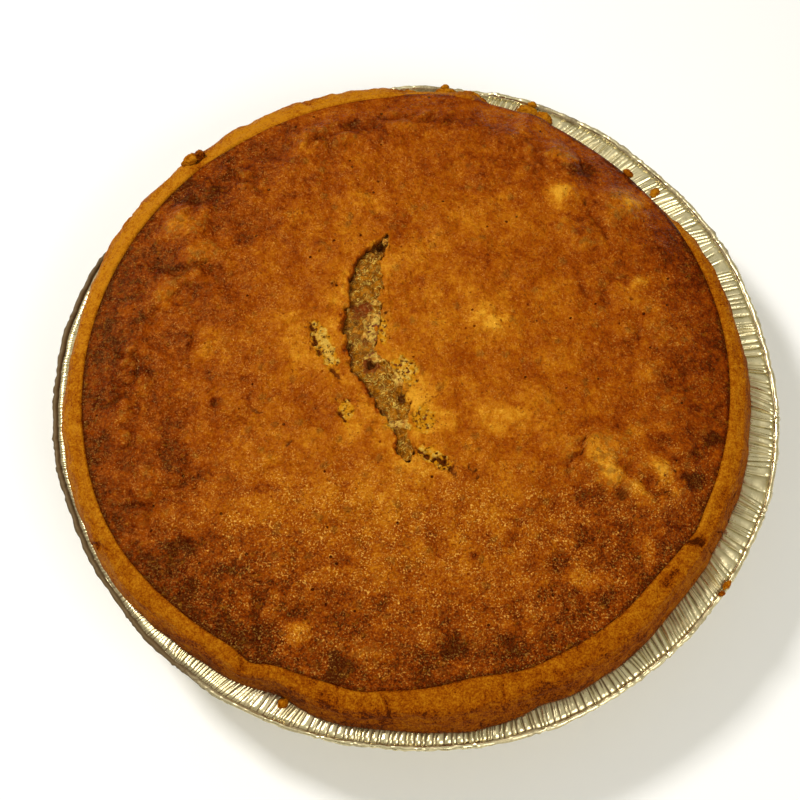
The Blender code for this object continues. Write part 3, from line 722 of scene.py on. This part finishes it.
# Filling: the puffed skin, with lumps where nuts lie under it
filling = dict(
    segments=250, edgeHeight=41.0, shoulder=2.3, crown=3.8, dip=0.9, dipPlace=0.60, dipWidth=0.13,
    slopes=[  # how much darker the skin gets, towards which degree, and from and to which distance
        (0.07, 180, -10, 75), (0.05, 270, 45, 80), (-0.04, 90, 20, 60), (0.04, 0, 15, 50), (0.04, 180, 45, 75),
        (0.05, 135, 60.6, 90.9),
    ],
    browning=[(0.0, 0.46), (0.30, 0.475), (0.45, 0.50), (0.67, 0.575), (0.80, 0.66), (0.90, 0.735), (1.0, 0.80)],
    overlap=0.25, spill=0.9, spillPlace=((61.0, 6.0), (88.0, 8.0)),
    brokenDrop=1.6, finer=1.75, crestRise=1.7, troughDepth=1.2,
    bumps=[  # x, y, radius, rise, paleness
        (-39.6, 84.5, 4.6, 1.3, 0.75), (51.3, 67.3, 5.6, 1.4, 0.95), (72.5, 64.7, 5.5, 0.9, 0.7),
        (73.1, 31.9, 3.6, 1, 0.85), (23.5, 18.6, 6.5, 0.8, 0.8), (-66.6, 8, 5, 0.8, 0.55),
        (72.7, 0, 4.6, 0.9, 0.6), (50.7, -68.6, 5, 0.8, 0.3), (13.3, -58.5, 4, 0.7, 0.5),
        (-55.8, -75.2, 4.5, 0.9, 0.45), (-34.4, -86, 4, 1.1, 0.6), (-78.2, 56.8, 6, 1.4, 0.3),
        (61.6, -33.6, 3, 0.9, 0.6), (68.5, -38.5, 3.6, 0.7, 0.55), (79, -37, 3.4, 1, 0.6),
        (76.9, -32.5, 3.2, 0.9, 0.5), (-79.5, 44, 5.5, 1, 0.2), (6, 12.8, 6, 0.5, 0.1),
        (9.5, -6, 7, 0.7, 0.15), (0.9, 23.7, 9, 0.5, 0), (-57.5, 63.4, 6, 1, 0.15), (38, -12, 8, 0.5, 0.25),
        (-45, -45, 8, 0.6, 0.25), (60, -8, 6, 0.6, 0.1), (48.1, 65, 4, 0.6, 0.6), (54, 50.8, 3.2, 0.9, 0),
        (-67.3, -3.4, 3.4, 0.7, 0), (-28, -46, 9, 0.5, 0.2), (-2, -44, 7, 0.4, 0.22), (-40, 20, 7, 0.4, 0.2),
    ],
    crags=[  # x, y, half width, half height and roughness of blistered places
        (-79.7, 57, 11, 11, 1), (-62, 70, 12, 8, 1), (-72, 38, 12, 8, 0.8), (58, -32, 12, 12, 1),
        (-80, 26, 9, 8, 0.8), (-92, -10, 8, 22, 0.8), (-83, -45, 12, 12, 0.7), (-70, -64, 12, 9, 0.7),
        (-50, -78, 14, 8, 0.7), (-20, -93, 16, 6, 0.8), (12, -90, 14, 6, 0.7), (40, -82, 14, 8, 0.6),
        (70, -38, 14, 9, 0.9), (89, -28, 8, 14, 0.7), (50, 82, 13, 9, 1), (58, 52, 12, 9, 0.8),
        (70, 64, 12, 9, 0.7), (-34, 90, 16, 7, 0.9), (-4, 97, 20, 5, 0.6), (80, 10, 11, 14, 0.6),
        (66, 30, 12, 9, 0.5), (24, 16, 12, 9, 0.3), (-58, -12, 12, 9, 0.5), (-34, -72, 12, 9, 0.5),
        (48, -62, 14, 10, 0.5), (-64, 8, 12, 9, 0.5), (6, -58, 16, 9, 0.4),
    ],
    stains=[  # x, y, half width, half height and darkness of browner places, or paleness below 0
        (-0.5, -6.8, 6, 6, -0.14), (4, -18, 8, 8, -0.24), (-22, -22, 7, 5, -0.2), (0.7, -35.3, 7, 5, -0.16),
        (28, -17, 9, 5, -0.18), (23.9, 16.2, 6, 6, -0.1), (-17, 62.8, 6, 5, -0.11), (-35, 4, 8, 11, -0.17),
        (-20, -42, 16, 10, -0.05), (-26, 20, 5, 8, -0.08), (55.5, -25, 3, 6, -0.18), (59.5, -31, 3, 5, -0.2),
        (63.5, -36.5, 3, 3.6, -0.2), (69, -38, 4, 4, -0.14), (77.3, -32.5, 3, 5, -0.22),
        (81, -40, 2.6, 4.6, -0.22), (69.5, -20, 4, 3, -0.2), (53, -69.5, 8, 4, -0.18),
        (72.5, -59, 2.4, 6, -0.28), (64.3, -41.5, 2.2, 3.2, 0.34), (55, -43, 5, 4, 0.24),
        (94.5, -21.5, 3, 3.4, 0.8), (87.4, -36.6, 5, 3, 0.6), (77, -25, 5, 4, 0.26), (56, -17.5, 4, 3, 0.16),
        (64, -21, 3.6, 3, 0.14), (57.9, -75.7, 1.8, 1.8, 0.6), (50.5, -55.4, 6, 4, 0.3), (44, -66, 5, 3, 0.12),
        (-34.4, -87, 5, 4, -0.3), (89, -28, 4, 6, 0.14), (-92, 18, 3, 2.4, 0.3), (-89, -2, 3, 2.4, 0.3),
        (45, -0.9, 6, 6, -0.1), (-49.7, -48.3, 9, 6, -0.12), (85.3, -61.8, 4, 4, -0.16),
        (53.8, -68.5, 8, 5, -0.12), (-81.2, 55.3, 5, 7, -0.16), (73.9, 64.8, 6, 5, -0.16),
        (-67.3, 7.7, 7, 7, -0.12), (0, 52, 30, 12, 0.05), (30, 45, 22, 12, 0.04), (93, 4, 14, 26, 0.1),
        (95, -21.4, 4, 4, 0.24), (93.8, -56.2, 4, 4, 0.26), (-21.5, -96, 6, 6, 0.9), (32.6, -90.1, 6, 3, 0.24),
        (11.5, -90.5, 4.6, 4, 0.34), (-76.1, -30.1, 5, 6, 0.16), (-60, -76, 16, 10, 0.06),
        (0, -88, 40, 9, 0.06), (-46.9, -41, 5, 2, 0.2), (-82.1, -58.9, 7, 6, 0.12), (60.6, 26.1, 5, 7, 0.1),
        (-30, 92, 20, 5, 0.1), (20, 97, 30, 5, 0.08), (56.8, 51.2, 5, 5, 0.14), (53.9, 77.3, 9, 3.2, 0.3),
        (87.5, -35.9, 5, 3.6, 0.26), (-85, 36, 4, 2.4, 0.34), (-76, 36, 8, 1.6, 0.22), (-92, -52, 6, 14, 0.1),
        (-82, -68, 7, 7, 0.1), (54.6, 51.4, 2.6, 2.4, 0.22), (-67.3, -3.4, 2.6, 3, 0.16),
        (-20.5, -96.5, 6, 2.4, 0.3), (10.9, -90.6, 4, 2, 0.28), (-73.5, -59.4, 5, 2.4, 0.36),
        (64, 79, 14, 6, 0.1), (-60, 80, 14, 8, 0.12), (-78, 66, 9, 12, 0.1), (-56, -67, 4, 3, 0.16),
        (-44.1, -85.4, 4.5, 2.2, 0.22), (-49.5, -87.5, 4, 2.2, 0.22), (-22.6, -64.2, 4, 2, 0.16),
        (11.8, -92.3, 3.4, 2, 0.3), (29.9, -55.9, 2.4, 2, 0.16), (32.1, -76.7, 6, 3, 0.12),
        (13.8, -46.9, 3, 2.6, 0.12), (4.3, -55.6, 3.6, 2.6, 0.1), (-25.8, -69.5, 6, 3, -0.12),
        (29.6, -86.9, 3.6, 2, 0.3), (32, -90.1, 3.4, 2.4, 0.3), (-96.5, -30.5, 3.4, 3, 0.24),
        (18.1, -62.1, 1.4, 1.2, 0.4), (-67, -47.1, 7, 4, -0.1), (-10.4, -76.9, 3.8, 2.8, 0.3),
        (-64, -12.8, 3, 2.4, 0.36), (-100, 0, 5, 18, 0.16),
    ],
    colours=[(0.0, (0.66, 0.29, 0.018)), (0.24, (0.47, 0.152, 0.0045)), (0.45, (0.340, 0.080, 0.0012)),
             (0.65, (0.240, 0.039, 0.0003)), (0.85, (0.132, 0.0150, 0.0001)), (1.0, (0.052, 0.0045, 0.0001))],
    # the pale glint colour is a painted highlight, and the near-black hole colour is painted shade
    cream=(0.62, 0.38, 0.060), pore=(0.18, 0.030, 0.009), torn=(0.140, 0.028, 0.002), olive=(0.190, 0.076, 0.008),
    speck=(0.150, 0.026, 0.001), paintedGlint=(0.84, 0.43, 0.075), hole=(0.040, 0.008, 0.001), crumb=(0.52, 0.21, 0.005),
)


def fillingEdge(angle):
    radius = lipRadius(angle) + plan["brokenLip"] * missing(angle) + filling["overlap"]
    return radius + filling["spill"] * sector(angle, *filling["spillPlace"])


def shareOut(x, y):  # from 0 at the middle to 1 at the filling's edge
    return np.hypot(x, y) / fillingEdge(np.arctan2(y, x))


def bumpShare(x, y, bumpX, bumpY, radius):  # square of the distance over the bump's radius
    return ((x - bumpX) ** 2 + (y - bumpY) ** 2) / radius**2


def puffed(x, y):
    share, angle = shareOut(x, y), np.arctan2(y, x)
    settled = folded(angle, 4) - filling["brokenDrop"] * (missing(angle) - 0.9 * shard(angle))
    edge = filling["edgeHeight"] + smooth(0.86, 1.0, share) * settled
    height = edge + filling["shoulder"] * (1 - share**7) + filling["crown"] * (1 - share**2)
    height = height - filling["dip"] * np.exp(-(((share - filling["dipPlace"]) / filling["dipWidth"]) ** 2))
    inner = 1.0 - smooth(0.88, 1.0, share)
    height = height + inner * (0.85 * grains(x / 24, y / 24, 91, 2) + 1.20 * grains(x / 7.5, y / 7.5, 92, 3))
    for *place, rise, pale in filling["bumps"]:
        height = height + rise * np.exp(-1.6 * bumpShare(x, y, *place)) * (1.0 + 0.35 * grain(x / 1.9, y / 1.9, 94))
    return height


def blistered(x, y):  # share of the rough relief at each point
    total = np.full(x.shape, 0.12)
    for *oval, strength in filling["crags"]:
        total = np.maximum(total, strength * smooth(1.25, 0.55, ovalShare(x, y, oval, 0.30, 5.0, 106)))
    return total * (1.0 - smooth(0.90, 0.98, shareOut(x, y)))


def crag(x, y):  # crests and winding troughs of the blistered skin, each from 0 to 1
    wanderX, wanderY = x + 2.2 * grain(x / 5.0, y / 5.0, 107), y + 2.2 * grain(x / 5.0, y / 5.0, 108)
    large, small = grain(wanderX / 8.5, wanderY / 8.5, 109), grain(wanderX / 3.8, wanderY / 3.8, 110)
    troughs = np.maximum(np.exp(-((large / 0.13) ** 2)), 0.55 * np.exp(-((small / 0.15) ** 2)))
    return np.clip(1.3 * np.abs(large) + 0.5 * np.abs(small), 0, 1), troughs


def skinHeight(x, y):
    share = shareOut(x, y)
    height = puffed(x, y) + 0.16 * grain(x / 1.9, y / 1.9, 97) * (1.0 - smooth(0.93, 1.0, share))
    crests, troughs = crag(x, y)
    height = height + blistered(x, y) * (filling["crestRise"] * crests - filling["troughDepth"] * troughs)
    near, sponge = tornEdge(x, y), spongeShare(x, y)
    curled = (0.35 + 0.45 * grain(x / 3.0, y / 3.0, 98)) * np.exp(-(((near - 1.30) / 0.25) ** 2)) * (1 - sponge)
    lace = 0.55 * grain(x / 1.1, y / 1.1, 87) + 0.35 * grain(x / 0.6, y / 0.6, 88)
    height = height + curled + sponge * (lace - 0.55) - holes(x, y)
    return height - burst["depth"] * smooth(1.08, 0.74, near)


# Square grid to disc with even angles round the edge
def discPlace(x, y):
    wide = np.abs(x) >= np.abs(y)
    safeX, safeY = np.where(x == 0, 1e-9, x), np.where(y == 0, 1e-9, y)
    turnWide = np.pi / 4 * y / safeX + np.where(x > 0, 0.0, np.pi)
    turnTall = np.pi / 2 - np.pi / 4 * x / safeY + np.where(y > 0, 0.0, np.pi)
    return np.maximum(np.abs(x), np.abs(y)), np.where(wide, turnWide, turnTall)


def fillingMaterial():
    skin = Finish("brownedFilling", Specular_IOR_Level=0.17, Specular_Tint=(1.0, 0.58, 0.10, 1.0))
    broad = skin.sway(17, 0.12)
    patch = skin.sway(5.5, 0.13)
    fleck = skin.sway(1.7, 0.14, 3.0, 0.7)
    gritAndGlint = skin.mark("gritAndGlint")
    sand = skin.times(skin.sway(0.75, 0.15, 2.0), gritAndGlint)
    browningAndShade = skin.add(skin.mark("browningAndShade"), broad, patch, fleck, sand)
    pinhole = skin.times(skin.span(skin.cells(4.6), 0.05, 0.12, 0.62, 0.0), skin.span(skin.noise(8), 0.50, 0.58))
    browningAndShade = skin.add(browningAndShade, pinhole)
    colour = skin.ramp(browningAndShade, filling["colours"])
    spot = skin.times(
        skin.span(skin.add(skin.cells(6.0), skin.sway(1.6, 0.10)), 0.10, 0.30, 0.55, 0.0),
        skin.span(skin.noise(9.5, 1.0), 0.44, 0.56), skin.span(skin.noise(0.9), 0.3, 0.6, 0.35, 1.0),
        skin.span(browningAndShade, 0.90, 0.65, 0.10, 1.0),
    )
    colour = skin.mix(spot, colour, filling["olive"])
    speck = skin.times(skin.span(skin.noise(0.9, 1.0), 0.62, 0.68), skin.span(skin.noise(6.0), 0.42, 0.58), 0.75)
    colour = skin.mix(speck, colour, filling["speck"])
    tinted = skin.times(
        skin.span(skin.mark("crest"), 0.30, 0.80), skin.span(skin.noise(2.2, 3.0), 0.48, 0.62),
        skin.span(browningAndShade, 0.90, 0.65, 0.10, 0.55),
    )
    colour = skin.mix(tinted, colour, filling["olive"])
    # painted highlight: small pale glints painted into the skin's colour, fewest on the darkest places
    paintedGlint = skin.times(
        skin.span(skin.noise(0.55, 1.0), 0.52, 0.76), skin.span(skin.noise(4.5), 0.38, 0.62, 0.25, 1.0),
        skin.span(browningAndShade, 0.95, 0.45, 0.35, 1.0), skin.span(gritAndGlint, 0.4, 1.2, 0.25, 1.0),
    )
    colour = skin.mix(paintedGlint, colour, filling["paintedGlint"])
    sponge = skin.mark("sponge")
    colour = skin.mix(skin.span(skin.add(sponge, skin.sway(2.0, 0.20)), 0.05, 0.60), colour, filling["crumb"])
    colour = skin.mix(skin.span(skin.add(sponge, skin.sway(1.6, 0.60)), 0.60, 1.25), colour, filling["cream"])
    pores = skin.span(skin.noise(1.15, 3.0, 0.6), 0.52, 0.63)
    pores = skin.times(pores, skin.span(skin.noise(2.4), 0.44, 0.54), skin.span(sponge, 0.30, 0.60))
    colour = skin.mix(pores, colour, filling["pore"])
    # Painted shade: red-brown inside the crack's edge, more on its left side, and near-black down in the holes and
    # slits; the red-brown is partly the torn skin's own colour
    deep = skin.add(skin.mark("deep"), skin.sway(0.8, 0.20))
    colour = skin.mix(skin.span(deep, 0.10, 0.60), colour, filling["torn"])
    colour = skin.mix(skin.span(deep, 0.65, 1.0), colour, filling["hole"])
    relief = skin.add(
        skin.noise(1.8, 2.0, 0.60), skin.times(skin.noise(0.85, 2.0), gritAndGlint, 0.62),
        skin.times(pinhole, -1.2), skin.times(pores, -0.8), skin.times(spot, 0.5),
    )
    rough = skin.span(skin.noise(3.0), 0.35, 0.65, 0.18, 0.42)
    return skin.wear(Base_Color=colour, Roughness=rough, Normal=skin.bump(relief, 0.9))


def makeFilling():
    bm = bmesh.new()
    bmesh.ops.create_grid(bm, x_segments=filling["segments"], y_segments=filling["segments"], size=1.0)

    def spread(draft, points):
        share, angle = discPlace(points[:, 0], points[:, 1])
        reach = fillingEdge(angle) * share
        return np.stack((reach * np.cos(angle), reach * np.sin(angle), 0 * reach), axis=1), {}

    bm = moved(bm, spread)
    middle = np.array([face.calc_center_median()[:2] for face in bm.faces])
    detail = np.minimum(tornEdge(*middle.T), 1.75 - spongeShare(*middle.T)) < filling["finer"]
    cut = {edge for face, inside in zip(bm.faces, detail) if inside for edge in face.edges}
    bmesh.ops.subdivide_edges(bm, edges=list(cut), cuts=2, use_grid_fill=True)

    def raised(draft, points):
        x, y = points[:, 0], points[:, 1]
        share, near, hollow = shareOut(x, y), tornEdge(x, y), holes(x, y)
        browningAndShade = np.interp(share, *zip(*filling["browning"]))
        for darker, direction, start, end in filling["slopes"]:
            along, across = onLine(x, y, 0, 0, math.radians(direction))
            browningAndShade = browningAndShade + darker * smooth(start, end, along)
        browningAndShade = browningAndShade - 0.20 * smooth(0.88, 0.99, share) * smooth(60, 92, y)
        crests, troughs = crag(x, y)
        # painted shade in the troughs and painted light on the crests of the blistered skin
        browningAndShade = browningAndShade + blistered(x, y) * (0.24 * troughs - 0.26 * crests)
        for *place, rise, pale in filling["bumps"]:
            away = bumpShare(x, y, *place)
            browningAndShade = browningAndShade - 0.36 * pale * np.exp(-1.1 * away) * (1.0 + 0.7 * grain(x / 2.4, y / 2.4, 95))
        for *oval, dark in filling["stains"]:
            browningAndShade = browningAndShade + dark * smooth(1.25, 0.45, ovalShare(x, y, oval, 0.35, 3.0, 99))
        browningAndShade = np.minimum(browningAndShade, 0.80 + 0.45 * (browningAndShade - 0.80))
        # painted shadow: a thin dark line at the filling's edge, below the pastry's lip
        browningAndShade = browningAndShade + 0.20 * smooth(0.980, 0.997, share)
        browningAndShade = browningAndShade - 0.20 * np.exp(-(((near - 1.1) / 1.1) ** 2)) * (0.8 + 0.7 * grain(x / 4.0, y / 4.0, 96))
        side = rightward(x, y)
        patchy = 0.6 + 0.9 * grain(x / 2.6, y / 2.6, 89)
        # darker along the crack's left edge: partly painted shade, partly the torn skin's darker rim
        browningAndShade = browningAndShade + 0.40 * np.exp(-(((near - 1.08) / 0.14) ** 2)) * patchy * (1 - side)
        # inside the crack's edge, more on its left side, and down in the holes: painted dark in the material as
        # shade
        deep = np.maximum(smooth(1.06, 0.86, near) * (1 - 0.55 * side), 0.74 * smooth(0.25, 1.1, hollow))
        height = skinHeight(x, y)
        low, leftOf = smooth(-20, -60, y) * smooth(-95, -40, x), smooth(-20, -60, x)
        # how gritty the skin is, which also sets how many painted glints show
        gritAndGlint = 0.48 + 0.78 * low + (0.14 * leftOf + 0.18 * smooth(30, 80, x)) * (1 - low)
        marks = {"gritAndGlint": gritAndGlint, "browningAndShade": browningAndShade, "deep": deep, "sponge": spongeShare(x, y)}
        marks["crest"] = blistered(x, y) * crests
        return np.stack((x, y, height), axis=1), marks

    bm = moved(bm, raised)
    ring = [edge for edge in bm.edges if edge.is_boundary]
    floorLevel = plan["pastryFloor"] + plan["pastry"] + 0.4
    sides = [(0.15, 0.5, 0), (0.5, 1.3, 0), (0, plan["wallHeight"], plan["wallRadius"] - 0.6)]
    for inward, level, fixed in sides + [(0, floorLevel, plan["baseRadius"] - 5.2)]:
        made = bmesh.ops.extrude_edge_only(bm, edges=ring)["geom"]
        ring = [part for part in made if isinstance(part, bmesh.types.BMEdge) and part.is_boundary]
        for vert in {end for edge in ring for end in edge.verts}:
            angle = math.atan2(vert.co.y, vert.co.x)
            radius = fixed or float(fillingEdge(angle)) - inward
            height = level if fixed else vert.co.z - level * (1 + 0.6 * float(missing(angle)))
            vert.co = (radius * math.cos(angle), radius * math.sin(angle), height)
    bmesh.ops.edgeloop_fill(bm, edges=ring)
    bmesh.ops.recalc_face_normals(bm, faces=bm.faces)
    bmesh.ops.scale(bm, vec=(mm, mm, mm), verts=bm.verts)
    newPiece("fillingSkin", bm, fillingMaterial(), "filling")


# Syrup bed: the set custard and syrup that lie open in the long crack
syrup = dict(
    along=480, across=54, below=(1.4, 0.45), overlap=1.12, thickness=0.9,
    # the pale yellow colour after amber is a painted highlight, and dark is painted shade
    gel=(0.165, 0.047, 0.0012), amber=(0.38, 0.130, 0.003), paintedHighlight=(0.86, 0.56, 0.10), dark=(0.085, 0.020, 0.002),
    red=(0.16, 0.018, 0.003), cream=(0.64, 0.39, 0.070), moist=(0.44, 0.18, 0.020), pore=(0.20, 0.045, 0.016),
    flaps=[  # x, y, half width, half length and rise of each scrap of pale crumb
        (-14.4, 13.6, 3.6, 7.4, 1), (-11.8, 3.4, 5, 2.2, 1), (-5.8, -20, 4.8, 1.9, 1),
        (-11, 46.2, 1.3, 1.5, 0.8), (-5, -2.4, 3.6, 4.2, 0.9), (-13.4, 22.6, 2.2, 1.2, 0.7),
    ],
    reds=[  # x, y, half width, half length and share of each wine-red place
        (-15, 0.8, 3.4, 3, 1), (-18.4, 20.6, 4.6, 3.2, 0.75), (-16.6, 9, 1.6, 2.4, 0.6),
    ],
    hollows=[  # x, y, radius and depth
        (-12.6, 44.6, 1.7, 2), (-20.6, 16.5, 2, 1), (-21.4, 8.5, 1.7, 1), (-14.4, 1, 1.4, 2.4),
        (-4.6, -10.4, 2.1, 1.4), (-4.6, -28.6, 1.6, 0.8), (-13, -8.6, 1, 0.7), (-8.6, -14.6, 1.2, 0.7),
        (-20, 30, 1.4, 0.9), (-19.6, 22, 1.3, 0.9),
    ],
)


def syrupMaterial():
    gel = Finish("openSyrup", Specular_IOR_Level=0.34, Specular_Tint=(1.0, 0.72, 0.20, 1.0))
    colour = gel.mix(gel.span(gel.noise(2.2, 3.0, 0.65, 0.6), 0.42, 0.60), syrup["gel"], syrup["amber"])
    # thin wavy threads: raised in the bump, and painted pale along them as a highlight
    threadAndHighlight = gel.math("ABSOLUTE", gel.math("SUBTRACT", gel.noise(2.7, 2.0, 0.6, 1.6), 0.5))
    threadAndHighlight = gel.times(gel.span(threadAndHighlight, 0.0, 0.045, 1.0, 0.0), gel.span(gel.noise(2.8), 0.40, 0.52))
    colour = gel.mix(gel.times(threadAndHighlight, 0.9), colour, syrup["paintedHighlight"])
    colour = gel.mix(gel.times(gel.span(gel.mark("ruddy"), 0.2, 0.8), 0.8), colour, syrup["red"])
    pores = gel.span(gel.noise(1.4, 3.0, 0.6), 0.53, 0.62)
    crumb = gel.mix(gel.span(gel.noise(1.7, 3.0), 0.40, 0.60), syrup["moist"], syrup["cream"])
    crumb = gel.mix(gel.times(pores, gel.span(gel.noise(2.6), 0.36, 0.50)), crumb, syrup["pore"])
    colour = gel.mix(gel.span(gel.add(gel.mark("pale"), gel.sway(1.5, 0.45)), 0.30, 0.85), colour, crumb)
    colour = gel.mix(gel.span(gel.add(gel.mark("shade"), gel.sway(0.9, 0.3)), 0.20, 0.95), colour, syrup["dark"])
    relief = gel.add(gel.noise(0.8, 2.0), gel.times(threadAndHighlight, 0.5), gel.times(pores, gel.mark("pale"), -1.0))
    rough = gel.span(gel.noise(1.2), 0.35, 0.65, 0.08, 0.26)
    return gel.wear(Base_Color=colour, Roughness=rough, Normal=gel.bump(relief, 0.48))


def makeSyrup():
    course = np.array(burst["long"])
    steps = np.concatenate(([0.0], np.cumsum(np.hypot(*np.diff(course[:, :2], axis=0).T))))

    def laid(draft, points):
        way, side = (points[:, 0] + 1) / 2 * steps[-1], points[:, 1]
        px, py, half = (np.interp(way, steps, course[:, axis]) for axis in range(3))
        dx = np.interp(way + 2.0, steps, course[:, 0]) - np.interp(way - 2.0, steps, course[:, 0])
        dy = np.interp(way + 2.0, steps, course[:, 1]) - np.interp(way - 2.0, steps, course[:, 1])
        size = np.hypot(dx, dy)
        reach = side * half * syrup["overlap"]
        x, y = px - dy / size * reach, py + dx / size * reach
        lumps = 0.55 * grain(x / 2.3, y / 2.3, 101) + 0.40 * (1 - 2 * np.abs(grain(x / 1.3, y / 1.3, 102)))
        hollow = np.zeros(x.shape)
        for holeX, holeY, radius, depth in syrup["hollows"]:
            away = np.hypot(x - holeX, y - holeY) * (1 + 0.3 * grain(x / 1.0, y / 1.0, 103)) / radius
            hollow = np.maximum(hollow, depth * np.exp(-(away**3)))
        pale = np.zeros(x.shape)
        for *oval, rise in syrup["flaps"]:
            pale = np.maximum(pale, rise * smooth(1.15, 0.70, ovalShare(x, y, oval, 0.35, 1.5, 105)))
        low, high = syrup["below"]
        right = rightward(x, y)
        under = low + (high - low) * right + 0.5 * smooth(0.6, 1.0, np.abs(side)) * (1 - right)
        height = puffed(x, y) - under + lumps * (1 - 0.4 * pale) - hollow * (1 - pale) + 0.9 * pale
        height = np.minimum(height, puffed(x, y) + 0.1 - 1.2 * smooth(0.92, 1.0, np.abs(side)))
        leftward = smooth(0.25, 0.95, -(x - px) / np.maximum(half, 0.5) + 0.35 * grain(x / 1.6, y / 1.6, 104))
        shade = np.maximum(smooth(0.3, 1.5, hollow), 0.72 * leftward) * (1 - pale)
        shade = np.maximum(shade, 0.80 * smooth(40, 43, y) * (1 - pale))
        shade = np.maximum(shade, 0.6 * smooth(-23, -26, y) * smooth(0.45, 0.95, np.abs(side)))
        ruddy = np.zeros(x.shape)
        for *oval, share in syrup["reds"]:
            ruddy = np.maximum(ruddy, share * smooth(1.2, 0.6, ovalShare(x, y, oval, 0.35, 1.5, 100)))
        return np.stack((x, y, height), axis=1) * mm, {"shade": shade, "ruddy": ruddy, "pale": pale}

    bm = bmesh.new()
    bmesh.ops.create_grid(bm, x_segments=syrup["along"], y_segments=syrup["across"], size=1.0)
    bm = moved(bm, laid)
    bmesh.ops.recalc_face_normals(bm, faces=bm.faces)
    if sum(face.normal.z for face in bm.faces) < 0:
        bmesh.ops.reverse_faces(bm, faces=bm.faces)
    bmesh.ops.solidify(bm, geom=bm.faces[:], thickness=syrup["thickness"] * mm)
    newPiece("syrupBed", bm, syrupMaterial())


# Crumbs: bits of crust that broke off and lie on the tin's flange and the pastry's edge
crumbs = dict(
    rough=0.55,
    bits=[  # x, y, height of the middle, half length, half width, half height, turn in degrees, toast
        (10.4, 114, 34, 4.4, 2.2, 2.2, -6, 0.12), (17.8, 112.8, 34, 4.6, 2.4, 2.3, -12, 0.22),
        (9.6, 117.2, 34.2, 1.5, 1, 1.2, 0, 0.05), (22.6, 110.8, 33.2, 2.8, 1.8, 2, -14, 0.5),
        (-3, 115.4, 32.6, 2.6, 1.1, 1.2, 2, 0.2), (-7.4, 112.6, 36.4, 2.4, 1.4, 1.6, 4, 0.8),
        (39.6, 107.4, 33.4, 3.6, 2.2, 2, -20, 0.06), (44.8, 105.2, 33, 3.6, 2.2, 1.8, -24, 0.2),
        (41.2, 110.6, 33.2, 1.4, 1, 1.6, 0, 0.1), (73.7, 79, 38.6, 1.8, 1.1, 1.1, -40, 0.6),
        (83.8, 75.2, 32, 2.2, 1.3, 1.1, 50, 0.1), (97.8, -67.2, 33.4, 1.8, 1, 0.9, 55, 0.2),
        (95.9, -70, 33.3, 1.1, 0.8, 0.7, 20, 0.5), (-79.6, 81, 40.2, 3.4, 2, 1.9, 45, 0.26),
        (-76.6, 82.6, 40.6, 1.9, 1.5, 1.6, 30, 0.74), (-39.6, -105.4, 31.6, 1.7, 1.5, 1.3, 10, 0.4),
        (78, 60.5, 40, 0.8, 0.6, 0.6, 0, 0.3),
    ],
)


def makeCrumbs():
    bm = bmesh.new()
    toasts = bm.verts.layers.float.new("browningAndShade")
    for order, (x, y, z, long, wide, tall, turn, browningAndShade) in enumerate(crumbs["bits"]):
        made = bmesh.ops.create_icosphere(bm, subdivisions=4, radius=1.0)["verts"]
        ball = np.array([vert.co for vert in made])
        u, v = ball[:, 0] * 1.6 + ball[:, 2] + 5 * order, ball[:, 1] * 1.6 - ball[:, 2]
        size = 1.0 + crumbs["rough"] * (0.8 * grains(u, v, 111, 3) + 0.25 * grain(u * 5, v * 5, 114))
        for vert, swell, shift in zip(made, size, grain(u * 2, v * 2, 115)):
            vert.co = vert.co * swell
            vert[toasts] = browningAndShade + 0.2 * shift
        bmesh.ops.scale(bm, vec=(long * mm, wide * mm, tall * mm), verts=made)
        bmesh.ops.rotate(bm, matrix=Matrix.Rotation(math.radians(turn), 3, "Z"), verts=made)
        bmesh.ops.translate(bm, vec=(x * mm, y * mm, z * mm), verts=made)
    newPiece("crustCrumbs", bm, pastryMaterial())


makeCamera()
makeStudio()
makeFoil()
makePastry()
makeFilling()
makeSyrup()
makeCrumbs()
